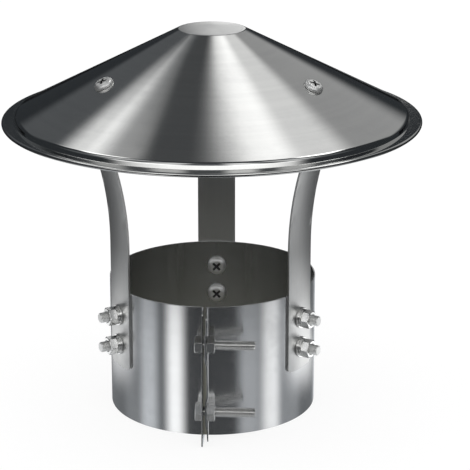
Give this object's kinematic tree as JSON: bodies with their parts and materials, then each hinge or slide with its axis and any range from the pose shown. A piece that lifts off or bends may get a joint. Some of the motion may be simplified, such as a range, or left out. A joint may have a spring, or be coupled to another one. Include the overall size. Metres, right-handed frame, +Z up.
{
  "type": "chimney rain cap",
  "caption": "Conical rain cap for a round flue pipe: a pressed hood with a rolled brim, held on flared strap legs over a split sheet collar that clamps on with bolts.",
  "frame": {"origin": "on the collar's axis at its lower rim", "axes": "+Z up the flue, -Y towards the clamp's opening, +X towards the clamp nuts"},
  "size_m": [0.202, 0.202, 0.1877],
  "materials": {
    "hood_steel": "bright rolled stainless sheet, softly streaked round the cone",
    "collar_steel": "bright rolled stainless sheet, upright streaks",
    "leg_steel": "satin stainless strip, fine grain along its length",
    "fastener_steel": "bright stainless fasteners"
  },
  "bodies": {
    "cap": {"collar_band": "collar_steel", "hood": "hood_steel", "hood_left_flat_washer": "fastener_steel", "hood_left_nut": "fastener_steel", "hood_left_screw": "fastener_steel", "hood_left_spring_washer": "fastener_steel", "hood_rear_flat_washer": "fastener_steel", "hood_rear_nut": "fastener_steel", "hood_rear_screw": "fastener_steel", "hood_rear_spring_washer": "fastener_steel", "hood_right_flat_washer": "fastener_steel", "hood_right_nut": "fastener_steel", "hood_right_screw": "fastener_steel", "hood_right_spring_washer": "fastener_steel", "leg_left": "leg_steel", "leg_left_lower_flat_washer": "fastener_steel", "leg_left_lower_nut": "fastener_steel", "leg_left_lower_screw": "fastener_steel", "leg_left_lower_spring_washer": "fastener_steel", "leg_left_upper_flat_washer": "fastener_steel", "leg_left_upper_nut": "fastener_steel", "leg_left_upper_screw": "fastener_steel", "leg_left_upper_spring_washer": "fastener_steel", "leg_rear": "leg_steel", "leg_rear_lower_flat_washer": "fastener_steel", "leg_rear_lower_nut": "fastener_steel", "leg_rear_lower_screw": "fastener_steel", "leg_rear_lower_spring_washer": "fastener_steel", "leg_rear_upper_flat_washer": "fastener_steel", "leg_rear_upper_nut": "fastener_steel", "leg_rear_upper_screw": "fastener_steel", "leg_rear_upper_spring_washer": "fastener_steel", "leg_right": "leg_steel", "leg_right_lower_flat_washer": "fastener_steel", "leg_right_lower_nut": "fastener_steel", "leg_right_lower_screw": "fastener_steel", "leg_right_lower_spring_washer": "fastener_steel", "leg_right_upper_flat_washer": "fastener_steel", "leg_right_upper_nut": "fastener_steel", "leg_right_upper_screw": "fastener_steel", "leg_right_upper_spring_washer": "fastener_steel"},
    "clamp_bolt_lower": {"clamp_bolt_lower": "fastener_steel"},
    "clamp_nut_lower": {"clamp_nut_lower": "fastener_steel"},
    "clamp_bolt_upper": {"clamp_bolt_upper": "fastener_steel"},
    "clamp_nut_upper": {"clamp_nut_upper": "fastener_steel"}
  },
  "joints": [
    {"name": "clamp_bolt_lower_turn", "type": "hinge", "parent": "cap", "child": "clamp_bolt_lower", "pos_m": [0, -0.057, 0.0147], "axis": [-1, 0, 0], "range_deg": [0, 7921]},
    {"name": "clamp_nut_lower_travel", "type": "slide", "parent": "cap", "child": "clamp_nut_lower", "axis": [1, 0, 0], "range_m": [0, 0.0176]},
    {"name": "clamp_bolt_upper_turn", "type": "hinge", "parent": "cap", "child": "clamp_bolt_upper", "pos_m": [0, -0.057, 0.0486], "axis": [-1, 0, 0], "range_deg": [0, 7921]},
    {"name": "clamp_nut_upper_travel", "type": "slide", "parent": "cap", "child": "clamp_nut_upper", "axis": [1, 0, 0], "range_m": [0, 0.0176]}
  ],
  "couplings": [
    {"joint": "clamp_bolt_lower_turn", "follows": "clamp_nut_lower_travel", "rad_per_m": 7854},
    {"joint": "clamp_bolt_upper_turn", "follows": "clamp_nut_upper_travel", "rad_per_m": 7854}
  ]
}
